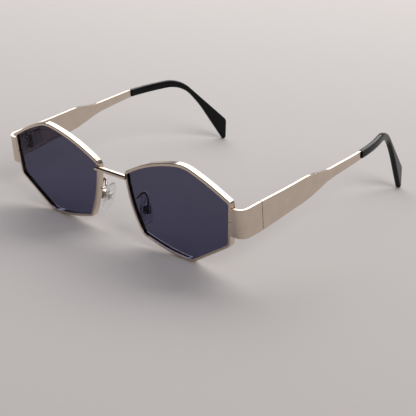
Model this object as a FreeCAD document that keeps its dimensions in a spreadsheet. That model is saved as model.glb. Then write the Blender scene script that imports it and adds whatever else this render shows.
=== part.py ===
import FreeCAD, Part
import math
import os
import Sketcher

# Hexagonal metal sunglasses, in millimetres. +Z is up, the front faces -Y, the temples run
# back along +Y and the plane X = 0 is the middle of the bridge. The origin lies on the table,
# at the middle of the footprint. Pieces are built on the +X side and mirrored to the -X side.
# Depths in the sheet are measured back from the front datum, heights up from the table.

os.makedirs("parts", exist_ok=True)
doc = FreeCAD.newDocument("HexagonalSunglasses")
sheet = doc.addObject("Spreadsheet::Sheet", "Sizes")

SIZES = (
    # placing of the front
    ("front_datum", -63.96),
    ("front_tilt", 5.5),
    ("lens_centre_across", 36.4),
    ("lens_centre_depth", -1.25),
    ("lens_centre_height", 21.145),
    ("face_wrap", 1.6),
    ("base_radius", 530.0),
    # eyewire and lens
    ("rim_width", 1.2),
    ("rim_depth", 2.6),
    ("rim_bevel", 0.25),
    ("groove_depth", 0.55),
    ("lens_recess", 0.6),
    ("lens_thickness", 1.6),
    ("tongue_thickness", 0.8),
    ("lens_clearance", 0.05),
    # bridge bar
    ("bridge_length", 18.4),
    ("bridge_front", -3.5),
    ("bridge_back", -1.6),
    ("bridge_bottom", 28.6),
    ("bridge_top", 30.1),
    ("bridge_bevel", 0.6),
    ("bridge_end_bevel", 0.7),
    # end piece, a strap bent from the front round to the side
    ("half_width", 70.5),
    ("strap_root", 60.0),
    ("strap_face", 0.05),
    ("strap_thickness", 1.0),
    ("strap_height", 12.3),
    ("strap_middle", 23.8),
    ("strap_bend", 4.0),
    # rim lock behind the end piece
    ("lock_width", 2.0),
    ("lock_depth", 2.1),
    ("lock_height", 2.5),
    ("lock_slit", 0.3),
    ("lock_screw_radius", 0.5),
    ("lock_head_radius", 0.9),
    ("lock_head_height", 0.5),
    ("screw_clearance", 0.04),
    # five-barrel hinge
    ("hinge_depth", 11.85),
    ("hinge_inset", 1.52),
    ("barrel_radius", 1.4),
    ("barrel_height", 1.2),
    ("barrel_gap", 0.1),
    ("pin_radius", 0.6),
    ("pin_head_radius", 0.95),
    ("pin_head_height", 0.45),
    ("leaf_thickness", 1.0),
    ("leaf_length", 5.0),
    ("leaf_setback", 1.65),
    ("butt_gap", 0.3),
    # temple
    ("blade_thickness", 1.0),
    ("curl_start", 69.7),
    ("curl_height", 32.94),
    ("curl_radius", 84.0),
    ("curl_rise", 3.1),
    ("curl_angle", 18.0),
    ("sleeve_start", 4.65),
    ("sleeve_height", 3.68),
    ("core_thickness", 0.9),
    ("core_height", 1.6),
    ("core_start", 2.5),
    ("tip_thickness", 2.6),
    ("tip_bevel", 0.55),
    ("tip_clearance", 0.05),
    # pad arm, box, screw and pad
    ("arm_radius", 0.5),
    ("arm_bend", 1.2),
    ("pad_across", 11.5),
    ("pad_depth", 7.0),
    ("pad_height", 13.4),
    ("pad_length", 13.0),
    ("pad_width", 7.0),
    ("pad_thickness", 2.4),
    ("pad_bevel", 0.75),
    ("core_length", 6.0),
    ("core_width", 3.2),
    ("core_plate", 0.5),
    ("lug_width", 1.3),
    ("lug_length", 1.6),
    ("lug_reach", 1.7),
    ("box_wall", 0.45),
    ("box_depth", 1.5),
    ("box_gap", 0.25),
    ("pad_screw_radius", 0.35),
    ("pad_screw_head", 0.6),
)

# Corners of the lens opening, seen from in front: across and up from the lens centre, rounding.
OPENING = (
    ("nose_top", -27.6, 9.5, 1.3),
    ("brow_bow", -13.25, 17.8, 72.0),
    ("crown", 4.9, 20.33, 16.0),
    ("brow_fall", 16.0, 16.3, 88.0),
    ("side_top", 27.3, 10.0, 1.6),
    ("side_bottom", 25.8, -7.75, 2.5),
    ("foot", 5.8, -20.2, 7.0),
    ("under_bow", -4.6, -19.68, 78.0),
    ("nose_bottom", -20.0, -15.7, 1.6),
    ("nose_bow", -25.53, -5.26, 58.0),
)

# Corners of the temple blade, seen from the side: depth, height, rounding.
BLADE = (
    ("blade_rise", 25.0, 32.1, 150.0),
    ("blade_crest", 42.0, 33.85, 38.0),
    ("blade_neck", 52.5, 32.7, 38.0),
    ("blade_mouth_top", 77.5, 35.07, 0.0),
    ("blade_mouth_bottom", 77.5, 31.66, 0.0),
    ("blade_narrow", 54.5, 28.3, 40.0),
    ("blade_belly", 41.0, 23.6, 60.0),
)

# Corners of the ear tip past the curl: run along the tip and rise, from the curl's end.
TIP = (
    ("tip_bend_top", 9.35, 1.84, 19.0),
    ("tip_heel", 36.0, -25.79, 3.0),
    ("tip_toe", 35.14, -38.84, 1.2),
    ("tip_swell", 20.63, -14.56, 62.0),
    ("tip_bend_bottom", 10.61, -1.84, 18.0),
)

# Corners of the core wire past the curl.
CORE = (
    ("core_bend_top", 10.47, 0.8, 19.0),
    ("core_end_top", 26.6, -18.0, 0.0),
    ("core_end_bottom", 25.4, -19.0, 0.0),
    ("core_bend_bottom", 9.73, -0.8, 17.4),
)

# Points of the pad arm wire: across, depth, height.
ARM = (
    ("arm_root", 9.35, 1.0, 18.9),
    ("arm_lift", 9.6, 3.7, 19.0),
    ("arm_top", 11.6, 5.3, 23.2),
    ("arm_fall", 14.0, 5.2, 19.2),
    ("arm_end", 14.95, 4.6, 13.6),
)


def fill_sheet():
    """Writes every size into the sheet as plain text with its alias."""
    rows = list(SIZES)
    for corners in (OPENING, BLADE, TIP, CORE):
        for name, across, up, rounding in corners:
            rows.append((name + "_across", across))
            rows.append((name + "_up", up))
            if rounding:
                rows.append((name + "_round", rounding))
    for name, across, depth, height in ARM:
        rows.append((name + "_across", across))
        rows.append((name + "_depth", depth))
        rows.append((name + "_height", height))
    for number, (alias, value) in enumerate(rows, start=1):
        sheet.set("A%d" % number, alias)
        sheet.set("B%d" % number, str(value))
        sheet.setAlias("B%d" % number, alias)
    doc.recompute()


fill_sheet()


def size(alias):
    """A size from the sheet."""
    return float(getattr(sheet, alias))


def number(expression):
    """The value now of an expression over the sheet, such as Sizes.rim_width * 2."""
    return float(sheet.evalExpression(expression))


# Frames. The lens frame has its origin on the lens front, the side frame lies level with the
# middle of the end piece; both lean with the front.

def lens_frame():
    """Place and turn of the +X lens: X across, Y back through the lens, Z up the lens."""
    centre = FreeCAD.Vector(
        size("lens_centre_across"),
        size("front_datum") + size("lens_centre_depth"),
        size("lens_centre_height"),
    )
    lean = FreeCAD.Rotation(FreeCAD.Vector(1, 0, 0), size("front_tilt"))
    wrap = FreeCAD.Rotation(FreeCAD.Vector(0, 0, 1), size("face_wrap"))
    return FreeCAD.Placement(centre, lean.multiply(wrap))


def side_frame():
    """Place and lean of the end piece: X across, Y back, Z up along the hinge axis."""
    base = FreeCAD.Vector(0, size("front_datum"), size("strap_middle"))
    lean = FreeCAD.Rotation(FreeCAD.Vector(1, 0, 0), size("front_tilt"))
    return FreeCAD.Placement(base, lean)


def hinge_frame():
    """The side frame moved to the middle of the hinge axis."""
    offset = FreeCAD.Vector(
        number("Sizes.half_width - Sizes.strap_thickness - Sizes.hinge_inset"),
        size("hinge_depth"),
        0,
    )
    return side_frame().multiply(FreeCAD.Placement(offset, FreeCAD.Rotation()))


def depth_frame():
    """The upright frame with its origin at the front datum on the table."""
    return FreeCAD.Placement(FreeCAD.Vector(0, size("front_datum"), 0), FreeCAD.Rotation())


UPRIGHT_XZ = FreeCAD.Placement(
    FreeCAD.Vector(0, 0, 0), FreeCAD.Rotation(FreeCAD.Vector(1, 0, 0), 90)
)
UPRIGHT_YZ = FreeCAD.Placement(
    FreeCAD.Vector(0, 0, 0), FreeCAD.Rotation(FreeCAD.Vector(1, 1, 1), 120)
)


# Sketch drawing

def bind(sketch, index, label, expression):
    """Names a constraint and binds it to the sheet."""
    sketch.renameConstraint(index, label)
    sketch.setExpression("Constraints." + label, expression)


def corner_arc(before, corner, after, rounding):
    """Start, end and centre of the arc that rounds a corner, and whether it turns left."""
    back = (before - corner).normalize()
    ahead = (after - corner).normalize()
    half = back.getAngle(ahead) / 2
    reach = rounding / math.tan(half)
    start = corner + back * reach
    end = corner + ahead * reach
    centre = corner + (back + ahead).normalize() * (rounding / math.sin(half))
    return start, end, centre, (start - centre).cross(end - centre).z > 0


def draw_outline(sketch, corners, grow=None):
    """Draws a closed outline of lines and tangent arcs through (x, y, rounding) expressions.

    With grow, the outline runs parallel to the corners' polygon, that far outside it. The
    polygon runs clockwise. Every corner point is a construction point bound to the sheet.
    """
    count = len(corners)
    offset = number(grow) if grow else 0.0
    points = [FreeCAD.Vector(number(x), number(y), 0) for x, y, _ in corners]
    sides = []
    for i in range(count):
        along = (points[(i + 1) % count] - points[i]).normalize()
        outward = FreeCAD.Vector(-along.y, along.x, 0)
        sides.append((points[i] + outward * offset, along))
    turns = []
    for i in range(count):
        base, along = sides[i - 1]
        other, ahead = sides[i]
        cross = along.x * ahead.y - along.y * ahead.x
        gap = other - base
        run = (gap.x * ahead.y - gap.y * ahead.x) / cross
        turns.append((base + along * run, cross < 0))
    rounds = []
    for i in range(count):
        x, y, rounding = corners[i]
        if rounding is None:
            rounds.append(None)
            continue
        sign = "+" if turns[i][1] else "-"
        rule = rounding if not grow else "%s %s (%s)" % (rounding, sign, grow)
        rounds.append(rule)
    arcs = []
    starts = []
    ends = []
    for i in range(count):
        corner = turns[i][0]
        if rounds[i] is None:
            arcs.append(None)
            starts.append(corner)
            ends.append(corner)
            continue
        radius = number(rounds[i])
        before = turns[i - 1][0]
        after = turns[(i + 1) % count][0]
        start, end, centre, left = corner_arc(before, corner, after, radius)
        first = math.atan2(start.y - centre.y, start.x - centre.x)
        last = math.atan2(end.y - centre.y, end.x - centre.x)
        circle = Part.Circle(centre, FreeCAD.Vector(0, 0, 1), radius)
        if left:
            arc = Part.ArcOfCircle(circle, first, last)
        else:
            arc = Part.ArcOfCircle(circle, last, first)
        arcs.append((sketch.addGeometry(arc), left))
        starts.append(start)
        ends.append(end)
    lines = []
    marks = []
    for i in range(count):
        lines.append(sketch.addGeometry(Part.LineSegment(ends[i], starts[(i + 1) % count])))
        marks.append(sketch.addGeometry(Part.Point(points[i]), True))
    rule = Sketcher.Constraint
    tag = "loop%d_" % sketch.ConstraintCount
    for i in range(count):
        if arcs[i] is None:
            sketch.addConstraint(rule("Coincident", lines[i - 1], 2, lines[i], 1))
        else:
            arc, left = arcs[i]
            start, end = (1, 2) if left else (2, 1)
            sketch.addConstraint(rule("Tangent", lines[i - 1], 2, arc, start))
            sketch.addConstraint(rule("Tangent", arc, end, lines[i], 1))
            index = sketch.addConstraint(rule("Radius", arc, number(rounds[i])))
            bind(sketch, index, "%sround%d" % (tag, i), rounds[i])
        for side in (i - 1, i):
            line = lines[side]
            if grow:
                index = sketch.addConstraint(rule("Distance", marks[i], 1, line, abs(offset)))
                bind(sketch, index, "%sgrow%d_%d" % (tag, i, side % count), "abs(%s)" % grow)
            else:
                sketch.addConstraint(rule("PointOnObject", marks[i], 1, line))
        for kind, column in (("DistanceX", 0), ("DistanceY", 1)):
            expression = corners[i][column]
            index = sketch.addConstraint(rule(kind, marks[i], 1, number(expression)))
            bind(sketch, index, "%s%s%d" % (tag, kind.lower(), i), expression)


def named_corners(corners):
    """The corner table as expressions over the sheet."""
    rows = []
    for name, across, up, rounding in corners:
        rule = "Sizes.%s_round" % name if rounding else None
        rows.append(("Sizes.%s_across" % name, "Sizes.%s_up" % name, rule))
    return rows


def draw_circle(sketch, x, y, radius):
    """Draws a circle whose centre and radius are bound to the sheet."""
    centre = FreeCAD.Vector(number(x), number(y), 0)
    circle = Part.Circle(centre, FreeCAD.Vector(0, 0, 1), number(radius))
    geometry = sketch.addGeometry(circle)
    label = "circle%d" % geometry
    rule = Sketcher.Constraint
    bind(sketch, sketch.addConstraint(rule("Radius", geometry, number(radius))), label, radius)
    for kind, expression in (("DistanceX", x), ("DistanceY", y)):
        index = sketch.addConstraint(rule(kind, geometry, 3, number(expression)))
        bind(sketch, index, label + kind, expression)


def draw_box(sketch, left, bottom, right, top):
    """Draws a rectangle between four bound edges."""
    draw_outline(sketch, (
        (left, bottom, None),
        (left, top, None),
        (right, top, None),
        (right, bottom, None),
    ))


def new_body(name, frame):
    """A body standing in the given frame."""
    body = doc.addObject("PartDesign::Body", name)
    body.Placement = frame
    return body


def body_sketch(body, name, plane):
    """An empty sketch on one of the body's own origin planes."""
    sketch = body.newObject("Sketcher::SketchObject", name)
    for feature in body.Origin.OriginFeatures:
        if feature.Role == plane:
            sketch.AttachmentSupport = [(feature, "")]
    sketch.MapMode = "FlatFace"
    return sketch


def pad_both(body, sketch, length):
    """Pads a sketch to both sides of its plane, to a bound total length."""
    pad = body.newObject("PartDesign::Pad", sketch.Name + "Pad")
    pad.Profile = sketch
    pad.SideType = "Symmetric"
    pad.setExpression("Length", length)
    return pad


def pocket_both(body, sketch, length=None):
    """Cuts a sketch to both sides of its plane, by a bound total length or right through."""
    pocket = body.newObject("PartDesign::Pocket", sketch.Name + "Cut")
    pocket.Profile = sketch
    pocket.SideType = "Symmetric"
    if length:
        pocket.setExpression("Length", length)
    else:
        pocket.Type = "ThroughAll"
    return pocket


def extrude(sketch, ahead, behind):
    """Extrudes a free sketch along its normal by two bound lengths."""
    solid = doc.addObject("Part::Extrusion", sketch.Name + "Block")
    solid.Base = sketch
    solid.DirMode = "Normal"
    solid.Solid = True
    solid.setExpression("LengthFwd", ahead)
    solid.setExpression("LengthRev", behind)
    return solid


def free_sketch(name, placement):
    """A sketch that stands by itself in the document."""
    sketch = doc.addObject("Sketcher::SketchObject", name)
    sketch.Placement = placement
    return sketch


def cut(name, base, tool):
    result = doc.addObject("Part::Cut", name)
    result.Base = base
    result.Tool = tool
    return result


def common(name, base, tool):
    result = doc.addObject("Part::Common", name)
    result.Base = base
    result.Tool = tool
    return result


def fuse(name, pieces):
    result = doc.addObject("Part::MultiFuse", name)
    result.Shapes = pieces
    result.Refine = True
    return result


def moved(frame, x, y, z):
    """The frame shifted along its own axes."""
    return frame.multiply(FreeCAD.Placement(FreeCAD.Vector(x, y, z), FreeCAD.Rotation()))


subparts = []


def keep(piece, node):
    """Marks an object as a sub-part and names its node."""
    piece.Label = node
    subparts.append(piece)
    return piece


def keep_pair(piece, node):
    """Keeps a +X piece and its mirror image on the -X side."""
    keep(piece, node + "_right")
    mirror = doc.addObject("Part::Mirroring", node + "_mirror")
    mirror.Source = piece
    mirror.Normal = FreeCAD.Vector(1, 0, 0)
    mirror.Base = FreeCAD.Vector(0, 0, 0)
    return keep(mirror, node + "_left")


# Eyewire and lens. Both follow one ball of the base radius, whose front touches the lens frame.

def ball(name, depth):
    """Ball whose surface lies a bound depth behind the rim front."""
    solid = doc.addObject("Part::Sphere", name)
    solid.setExpression("Radius", "Sizes.base_radius - (%s)" % depth)
    solid.Placement = moved(lens_frame(), 0, size("base_radius"), 0)
    return solid


def opening_block(name, grow):
    """Prism through the lens opening, its outline grown by a bound amount."""
    sketch = free_sketch(name, lens_frame().multiply(UPRIGHT_XZ))
    draw_outline(sketch, named_corners(OPENING), grow)
    return extrude(sketch, "Sizes.rim_depth * 3", "Sizes.rim_depth * 3")


def curved_slice(name, block, front, back):
    """Part of a prism between two bound depths behind the curved rim front."""
    ahead = common(name + "Ahead", block, ball(name + "FrontBall", front))
    return cut(name, ahead, ball(name + "BackBall", back))


TONGUE_FRONT = "Sizes.lens_recess + (Sizes.lens_thickness - Sizes.tongue_thickness) / 2"
TONGUE_BACK = TONGUE_FRONT + " + Sizes.tongue_thickness"

opening = opening_block("Opening", None)
rim_block = opening_block("RimOutline", "Sizes.rim_width")
rim_hoop = curved_slice("RimHoop", rim_block, "0", "Sizes.rim_depth")
groove = curved_slice(
    "LensGroove",
    opening_block("GrooveOutline", "Sizes.groove_depth"),
    TONGUE_FRONT + " - Sizes.lens_clearance",
    TONGUE_BACK + " + Sizes.lens_clearance",
)

# The wire is sawn through behind the end piece, where the rim lock closes it round the lens.
saw = doc.addObject("Part::Box", "SawCut")
saw.setExpression("Length", "Sizes.half_width - Sizes.strap_root")
saw.setExpression("Width", "Sizes.rim_depth * 3")
saw.setExpression("Height", "Sizes.lock_slit")
saw.Placement = moved(
    side_frame(), size("strap_root"), -size("rim_depth"), -size("lock_slit") / 2
)


def front_outer_edges(shape):
    """Edges of the rim between its front face and its outer wall."""
    centre = moved(lens_frame(), 0, size("base_radius"), 0).Base
    wall = rim_block.Shape
    found = []
    for index, edge in enumerate(shape.Edges, start=1):
        middle = edge.valueAt((edge.FirstParameter + edge.LastParameter) / 2)
        on_front = abs(middle.distanceToPoint(centre) - size("base_radius")) < 1e-3
        ends = [vertex.Point.distanceToPoint(centre) for vertex in edge.Vertexes]
        along_front = all(abs(d - size("base_radius")) < 1e-3 for d in ends)
        if not (on_front and along_front):
            continue
        if wall.distToShape(Part.Vertex(middle))[0] > 1e-3:
            continue
        if opening.Shape.distToShape(Part.Vertex(middle))[0] > size("rim_width") / 2:
            found.append((index, size("rim_bevel"), size("rim_bevel")))
    return found


doc.recompute()
rim_bevelled = doc.addObject("Part::Chamfer", "RimBevelled")
rim_bevelled.Base = rim_hoop
rim_bevelled.Edges = front_outer_edges(rim_hoop.Shape)
rim_open = cut("RimOpen", rim_bevelled, opening)
rim_grooved = cut("RimGrooved", rim_open, groove)
rim = cut("Rim", rim_grooved, saw)
keep_pair(rim, "rim")

lens_plate = curved_slice(
    "LensPlate",
    opening_block("LensOutline", "-Sizes.lens_clearance"),
    "Sizes.lens_recess",
    "Sizes.lens_recess + Sizes.lens_thickness",
)
lens_tongue = curved_slice(
    "LensTongue",
    opening_block("TongueOutline", "Sizes.groove_depth - Sizes.lens_clearance"),
    TONGUE_FRONT,
    TONGUE_BACK,
)
lens = fuse("Lens", [lens_plate, lens_tongue])
keep_pair(lens, "lens")

# Solid behind the curved front of the +X rim, used to seat other pieces on the wire.
rim_seat = common("RimSeat", rim_block, ball("RimSeatBall", "0"))
rim_seat_mirror = doc.addObject("Part::Mirroring", "RimSeatMirror")
rim_seat_mirror.Source = rim_seat
rim_seat_mirror.Normal = FreeCAD.Vector(1, 0, 0)


# Bridge: one straight bar laid across the front of both rims at their upper inner corners.

bridge_body = new_body("BridgeBar", depth_frame())
bridge_sketch = body_sketch(bridge_body, "BridgeSection", "YZ_Plane")
draw_outline(bridge_sketch, (
    ("Sizes.bridge_front", "Sizes.bridge_bottom", None),
    ("Sizes.bridge_front", "Sizes.bridge_top - Sizes.bridge_bevel", None),
    ("Sizes.bridge_front + Sizes.bridge_bevel", "Sizes.bridge_top", None),
    ("Sizes.bridge_back", "Sizes.bridge_top", None),
    ("Sizes.bridge_back", "Sizes.bridge_bottom", None),
))
pad_both(bridge_body, bridge_sketch, "Sizes.bridge_length")
bridge_ends = body_sketch(bridge_body, "BridgeEnds", "XY_Plane")
for side in (1, -1):
    tip_x = "%d * Sizes.bridge_length / 2" % side
    inner_x = "%d * (Sizes.bridge_length / 2 - Sizes.bridge_end_bevel)" % side
    corners = (
        (inner_x, "Sizes.bridge_back", None),
        (tip_x, "Sizes.bridge_back", None),
        (tip_x, "Sizes.bridge_back - Sizes.bridge_end_bevel", None),
    )
    draw_outline(bridge_ends, corners if side < 0 else corners[::-1])
pocket_both(bridge_body, bridge_ends)
bridge_seated = cut("BridgeSeated", bridge_body, rim_seat)
bridge = cut("Bridge", bridge_seated, rim_seat_mirror)
keep(bridge, "bridge")


# End piece: a flat strap soldered to the rim's outer side and bent round to the temple.

strap_body = new_body("StrapBody", side_frame())
strap_sketch = body_sketch(strap_body, "StrapPath", "XY_Plane")
STRAP_INNER = "Sizes.half_width - Sizes.strap_thickness"
STRAP_END = "Sizes.hinge_depth - Sizes.butt_gap / 2"
STRAP_BACK = "Sizes.strap_face + Sizes.strap_thickness"
draw_outline(strap_sketch, (
    ("Sizes.strap_root", "Sizes.strap_face", None),
    ("Sizes.strap_root", STRAP_BACK, None),
    (STRAP_INNER, STRAP_BACK, "Sizes.strap_bend - Sizes.strap_thickness"),
    (STRAP_INNER, STRAP_END, None),
    ("Sizes.half_width", STRAP_END, None),
    ("Sizes.half_width", "Sizes.strap_face", "Sizes.strap_bend"),
))
pad_both(strap_body, strap_sketch, "Sizes.strap_height")
end_piece = cut("EndPiece", strap_body, rim_block)
keep_pair(end_piece, "end_piece")


# Rim lock: two blocks on the sawn wire ends, drawn together by a screw from below. They reach
# out as far as the flat of the end piece does.

LOCK_EDGE = "(Sizes.half_width - Sizes.strap_bend)"


def lock_block(name, low, front):
    """One lock block standing on a bound height, its front face at a bound depth."""
    body = new_body(name, moved(side_frame(), 0, 0, number(low)))
    sketch = body_sketch(body, name + "Plan", "XY_Plane")
    back = STRAP_BACK + " + Sizes.lock_depth"
    draw_box(sketch, "Sizes.strap_root", front, LOCK_EDGE, back)
    pad = body.newObject("PartDesign::Pad", name + "Pad")
    pad.Profile = sketch
    pad.setExpression("Length", "Sizes.lock_height")
    return body


LOCK_AXIS_ACROSS = LOCK_EDGE + " - Sizes.lock_width / 2"
LOCK_AXIS_DEPTH = STRAP_BACK + " + Sizes.lock_depth / 2"


def lock_bore(name, low, high):
    """Screw hole along the lock axis between two bound heights."""
    bore = doc.addObject("Part::Cylinder", name)
    bore.setExpression("Radius", "Sizes.lock_screw_radius + Sizes.screw_clearance")
    bore.setExpression("Height", "(%s) - (%s)" % (high, low))
    bore.Placement = moved(
        side_frame(), number(LOCK_AXIS_ACROSS), number(LOCK_AXIS_DEPTH), number(low)
    )
    return bore


upper_body = lock_block("UpperLock", "Sizes.lock_slit / 2", STRAP_BACK)
upper_shaped = cut("UpperLockShaped", upper_body, rim_block)
upper_bore = lock_bore(
    "UpperLockBore",
    "-Sizes.lock_slit",
    "Sizes.lock_slit / 2 + Sizes.lock_height * 0.85",
)
keep_pair(cut("UpperLockBored", upper_shaped, upper_bore), "rim_lock_upper")

lower_body = lock_block(
    "LowerLock",
    "-Sizes.lock_slit / 2 - Sizes.lock_height",
    STRAP_BACK + " + Sizes.screw_clearance * 2",
)
lower_shaped = cut("LowerLockShaped", lower_body, rim_block)
lower_bore = lock_bore(
    "LowerLockBore",
    "-Sizes.lock_slit / 2 - Sizes.lock_height * 1.5",
    "Sizes.lock_slit",
)
keep_pair(cut("LowerLockBored", lower_shaped, lower_bore), "rim_lock_lower")


def turned_screw(name, frame, shank, head, head_height, shank_end):
    """Screw whose head stands on the plane Z = 0 of its frame and whose shank goes down."""
    body = new_body(name, frame)
    sketch = body_sketch(body, name + "Profile", "XZ_Plane")
    draw_outline(sketch, (
        ("0", shank_end, None),
        ("0", head_height, None),
        (head, head_height, None),
        (head, "0", None),
        (shank, "0", None),
        (shank, shank_end, None),
    ))
    turned = body.newObject("PartDesign::Revolution", name + "Turned")
    turned.Profile = sketch
    turned.ReferenceAxis = (sketch, ["V_Axis"])
    turned.Angle = 360
    return body


lock_screw_frame = moved(
    side_frame(),
    number(LOCK_AXIS_ACROSS),
    number(LOCK_AXIS_DEPTH),
    number("-Sizes.lock_slit / 2 - Sizes.lock_height"),
)
turned_over = FreeCAD.Placement(
    FreeCAD.Vector(0, 0, 0), FreeCAD.Rotation(FreeCAD.Vector(1, 0, 0), 180)
)
lock_screw = turned_screw(
    "LockScrew",
    lock_screw_frame.multiply(turned_over),
    "Sizes.lock_screw_radius",
    "Sizes.lock_head_radius",
    "Sizes.lock_head_height",
    "-(Sizes.lock_slit + Sizes.lock_height * 1.7)",
)
keep_pair(lock_screw, "rim_lock_screw")


# Hinge: three barrels stand on the end piece's leaf and two on the temple's leaf, in turn,
# round one screw. Both leaves lie on the inner face of the metal they are soldered to.

PITCH = "(Sizes.barrel_height + Sizes.barrel_gap)"
STACK_TOP = "(2 * %s + Sizes.barrel_height / 2)" % PITCH


def hinge_leaf(name, barrels, side):
    """Leaf plate with its barrels; side is -1 towards the front and +1 towards the temple."""
    frame = hinge_frame()
    plate_body = new_body(name + "Plate", frame)
    plate_sketch = body_sketch(plate_body, name + "PlatePlan", "XY_Plane")
    near = "%d * Sizes.leaf_setback" % side
    far = "%d * (Sizes.leaf_setback + Sizes.leaf_length)" % side
    front, back = (far, near) if side < 0 else (near, far)
    inner = "Sizes.hinge_inset - Sizes.leaf_thickness"
    draw_box(plate_sketch, inner, front, "Sizes.hinge_inset", back)
    pad_both(plate_body, plate_sketch, "2 * " + STACK_TOP)
    pieces = [plate_body]
    for order in barrels:
        low = "%d * %s - Sizes.barrel_height / 2" % (order, PITCH)
        barrel = doc.addObject("Part::Cylinder", "%sBarrel%d" % (name, order + 2))
        barrel.setExpression("Radius", "Sizes.barrel_radius")
        barrel.setExpression("Height", "Sizes.barrel_height")
        barrel.Placement = moved(frame, 0, 0, number(low))
        arm = doc.addObject("Part::Box", "%sArm%d" % (name, order + 2))
        arm.setExpression("Length", "Sizes.barrel_radius * 0.9")
        arm.setExpression("Width", "Sizes.leaf_setback + Sizes.leaf_length / 4")
        arm.setExpression("Height", "Sizes.barrel_height")
        reach = number("Sizes.leaf_setback + Sizes.leaf_length / 4")
        arm.Placement = moved(
            frame,
            size("barrel_radius") * 0.1,
            0 if side > 0 else -reach,
            number(low),
        )
        pieces.extend([barrel, arm])
    solid = fuse(name + "Leaf", pieces)
    bore = doc.addObject("Part::Cylinder", name + "Bore")
    bore.setExpression("Radius", "Sizes.pin_radius + Sizes.screw_clearance")
    bore.setExpression("Height", "%s * 6" % PITCH)
    bore.Placement = moved(frame, 0, 0, number("-3 * %s" % PITCH))
    return cut(name, solid, bore)


keep_pair(hinge_leaf("HingeFront", (-2, 0, 2), -1), "hinge_front")
keep_pair(hinge_leaf("HingeTemple", (-1, 1), 1), "hinge_temple")

hinge_screw = turned_screw(
    "HingeScrew",
    moved(hinge_frame(), 0, 0, number(STACK_TOP)),
    "Sizes.pin_radius",
    "Sizes.pin_head_radius",
    "Sizes.pin_head_height",
    "-(2 * %s)" % STACK_TOP,
)
keep_pair(hinge_screw, "hinge_screw")


# Temple. Seen from above the blade is a strip that runs straight back and then curls in
# behind the ear, round an axis that leans a little so that the strip rises.

def side_block(name, corners):
    """Outline seen from the side, extruded across the whole +X half."""
    sketch = free_sketch(name, depth_frame().multiply(UPRIGHT_YZ))
    draw_outline(sketch, corners)
    return extrude(sketch, "Sizes.half_width * 1.2", "0")


def blade_strip():
    """Upright strip of the blade's thickness along its middle line, curl included."""
    sketch = free_sketch("BladeStrip", depth_frame())
    half = "Sizes.blade_thickness / 2"
    line = "(Sizes.half_width - %s)" % half
    bend = "(Sizes.curl_start + Sizes.curl_radius * tan(Sizes.curl_angle * 0.5deg))"
    reach = "(Sizes.curl_start + Sizes.curl_radius)"
    fall = "(%s - %s) * tan(Sizes.curl_angle * 1deg)" % (reach, bend)
    across = "%s / cos(Sizes.curl_angle * 1deg)" % half
    draw_outline(sketch, (
        ("%s - %s" % (line, half), "0", None),
        ("%s - %s" % (line, half), bend, "Sizes.curl_radius - %s" % half),
        ("%s - %s - %s" % (line, fall, across), reach, None),
        ("%s - %s + %s" % (line, fall, across), reach, None),
        ("%s + %s" % (line, half), bend, "Sizes.curl_radius + %s" % half),
        ("%s + %s" % (line, half), "0", None),
    ))
    return extrude(sketch, "Sizes.half_width", "0")


def curl_frame(turn):
    """Frame on the curl's axis, turned inward by a bound angle past the curl's start."""
    middle = number("Sizes.half_width - Sizes.blade_thickness / 2 - Sizes.curl_radius")
    axis = FreeCAD.Vector(middle, size("curl_start"), size("curl_height"))
    rise = FreeCAD.Rotation(FreeCAD.Vector(1, 0, 0), size("curl_rise"))
    inward = FreeCAD.Rotation(FreeCAD.Vector(0, 0, 1), number(turn))
    return depth_frame().multiply(FreeCAD.Placement(axis, rise.multiply(inward)))


def curled_bar(name, start, across, tall, bevel="0"):
    """Bar of a bevelled rectangular section, turned round the curl's axis to the curl's end."""
    body = new_body(name + "Curl", curl_frame(start))
    sketch = body_sketch(body, name + "Section", "XZ_Plane")
    near = "Sizes.curl_radius - (%s) / 2" % across
    far = "Sizes.curl_radius + (%s) / 2" % across
    low = "-(%s) / 2" % tall
    high = "(%s) / 2" % tall
    corners = [(near, low, None), (near, high, None), (far, high, None), (far, low, None)]
    if bevel != "0":
        inner_near = "%s + %s" % (near, bevel)
        inner_far = "%s - %s" % (far, bevel)
        inner_low = "%s + %s" % (low, bevel)
        inner_high = "%s - %s" % (high, bevel)
        corners = [
            (inner_near, low, None),
            (near, inner_low, None),
            (near, inner_high, None),
            (inner_near, high, None),
            (inner_far, high, None),
            (far, inner_high, None),
            (far, inner_low, None),
            (inner_far, low, None),
        ]
    draw_outline(sketch, corners)
    turned = body.newObject("PartDesign::Revolution", name + "Turned")
    turned.Profile = sketch
    turned.ReferenceAxis = (sketch, ["V_Axis"])
    turned.setExpression("Angle", "Sizes.curl_angle - (%s)" % start)
    return body


def bent_bar(name, corners, across, tall, grow=None):
    """Bar that goes on from the curl's end and bends down over the ear."""
    frame = curl_frame("Sizes.curl_angle").multiply(
        FreeCAD.Placement(FreeCAD.Vector(size("curl_radius"), 0, 0), FreeCAD.Rotation())
    )
    body = new_body(name + "Bend", frame)
    sketch = body_sketch(body, name + "Outline", "YZ_Plane")
    ends = (("0", "-(%s) / 2" % tall, None), ("0", "(%s) / 2" % tall, None))
    draw_outline(sketch, list(ends) + named_corners(corners), grow)
    pad_both(body, sketch, across)
    return body


# Ear tip: a plastic sleeve pushed over the core wire, bent down and widening to its end.

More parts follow.
